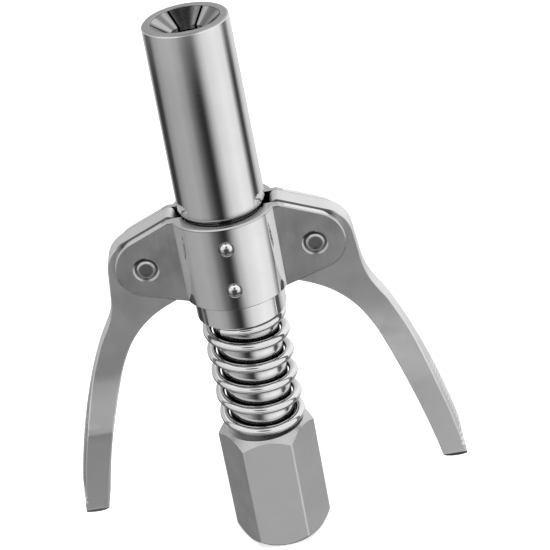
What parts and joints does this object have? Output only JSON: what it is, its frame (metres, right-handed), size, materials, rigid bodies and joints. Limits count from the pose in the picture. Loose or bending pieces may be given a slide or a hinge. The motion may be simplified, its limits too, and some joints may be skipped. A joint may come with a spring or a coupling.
{
  "type": "grease coupler",
  "caption": "Lock-on grease gun coupler: two squeeze levers pull sprung jaws back from the fitting; tapered pipe thread inlet below.",
  "frame": {"origin": "centre of the inlet face of the hexagon adapter", "axes": "+Z along the coupler's axis towards the nose, +X towards the right lever, -Y towards the viewer of the picture"},
  "size_m": [0.074, 0.0204, 0.1062],
  "materials": {
    "sleeve_chrome": "polished chrome plate",
    "stem_chrome": "polished chrome plate",
    "bracket_steel": "satin nickel plate, polished barrel",
    "lever_steel": "satin nickel plate",
    "hex_steel": "satin machined flats",
    "spring_chrome": "bright plated wire",
    "pin_steel": "turned, bright rim",
    "jaw_steel": "hardened, ground",
    "inner_steel": "turned",
    "spring_wire": "drawn wire",
    "ball_steel": "polished ball",
    "black_rubber": "nitrile, semi-gloss",
    "grey_rubber": "nitrile, matt",
    "gasket_fibre": "vulcanised fibre"
  },
  "bodies": {
    "stem_body": {"hex_adapter": "hex_steel", "inlet_gasket": "gasket_fibre", "stem": "stem_chrome", "nose_sleeve": "sleeve_chrome", "main_spring": "spring_chrome"},
    "bracket_body": {"lever_bracket": "bracket_steel", "spring_collar": "bracket_steel", "front_upper_dowel": "pin_steel", "front_lower_dowel": "pin_steel", "back_upper_dowel": "pin_steel", "back_lower_dowel": "pin_steel", "right_lever_pin": "pin_steel", "left_lever_pin": "pin_steel", "jaw_carrier": "inner_steel", "carrier_wiper_ring": "black_rubber", "carrier_seal_ring": "black_rubber", "seal_spring": "spring_wire"},
    "right_lever_body": {"right_lever": "lever_steel"},
    "left_lever_body": {"left_lever": "lever_steel"},
    "seal_body": {"seal_holder": "inner_steel", "holder_ring": "black_rubber", "nose_seal": "grey_rubber", "check_seat": "inner_steel", "check_spring": "spring_wire"},
    "ball_body": {"check_ball": "ball_steel"},
    "jaw_1_body": {"jaw_1": "jaw_steel"},
    "jaw_2_body": {"jaw_2": "jaw_steel"},
    "jaw_3_body": {"jaw_3": "jaw_steel"},
    "jaw_4_body": {"jaw_4": "jaw_steel"},
    "jaw_5_body": {"jaw_5": "jaw_steel"},
    "jaw_6_body": {"jaw_6": "jaw_steel"}
  },
  "joints": [
    {"name": "bracket_slide", "type": "slide", "parent": "stem_body", "child": "bracket_body", "axis": [0, 0, -1], "range_m": [0, 0.0031], "stiffness_N_per_m": 9000, "springref_m": -0.006, "deforming": ["main_spring"]},
    {"name": "right_lever_hinge", "type": "hinge", "parent": "bracket_body", "child": "right_lever_body", "pos_m": [0.0153, 0, 0.06185], "axis": [0, 1, 0], "range_deg": [0, 20.5]},
    {"name": "left_lever_hinge", "type": "hinge", "parent": "bracket_body", "child": "left_lever_body", "pos_m": [-0.0153, 0, 0.06185], "axis": [0, -1, 0], "range_deg": [0, 20.5]},
    {"name": "seal_slide", "type": "slide", "parent": "bracket_body", "child": "seal_body", "axis": [0, 0, -1], "range_m": [0, 0.0032], "stiffness_N_per_m": 2000, "springref_m": -0.003, "deforming": ["seal_spring"]},
    {"name": "ball_lift", "type": "slide", "parent": "seal_body", "child": "ball_body", "axis": [0, 0, 1], "range_m": [0, 0.0008], "stiffness_N_per_m": 300, "springref_m": -0.001, "deforming": ["check_spring"]},
    {"name": "jaw_1_spread", "type": "slide", "parent": "bracket_body", "child": "jaw_1_body", "axis": [0.866, 0.5, 0], "range_m": [0, 0.00063]},
    {"name": "jaw_2_spread", "type": "slide", "parent": "bracket_body", "child": "jaw_2_body", "axis": [0, 1, 0], "range_m": [0, 0.00063]},
    {"name": "jaw_3_spread", "type": "slide", "parent": "bracket_body", "child": "jaw_3_body", "axis": [-0.866, 0.5, 0], "range_m": [0, 0.00063]},
    {"name": "jaw_4_spread", "type": "slide", "parent": "bracket_body", "child": "jaw_4_body", "axis": [-0.866, -0.5, 0], "range_m": [0, 0.00063]},
    {"name": "jaw_5_spread", "type": "slide", "parent": "bracket_body", "child": "jaw_5_body", "axis": [0, -1, 0], "range_m": [0, 0.00063]},
    {"name": "jaw_6_spread", "type": "slide", "parent": "bracket_body", "child": "jaw_6_body", "axis": [0.866, -0.5, 0], "range_m": [0, 0.00063]}
  ],
  "couplings": [
    {"joint": "right_lever_hinge", "follows": "bracket_slide", "rad_per_m": 112.87},
    {"joint": "left_lever_hinge", "follows": "bracket_slide", "rad_per_m": 112.87},
    {"joint": "jaw_1_spread", "follows": "bracket_slide", "ratio": 0.2},
    {"joint": "jaw_2_spread", "follows": "bracket_slide", "ratio": 0.2},
    {"joint": "jaw_3_spread", "follows": "bracket_slide", "ratio": 0.2},
    {"joint": "jaw_4_spread", "follows": "bracket_slide", "ratio": 0.2},
    {"joint": "jaw_5_spread", "follows": "bracket_slide", "ratio": 0.2},
    {"joint": "jaw_6_spread", "follows": "bracket_slide", "ratio": 0.2}
  ]
}
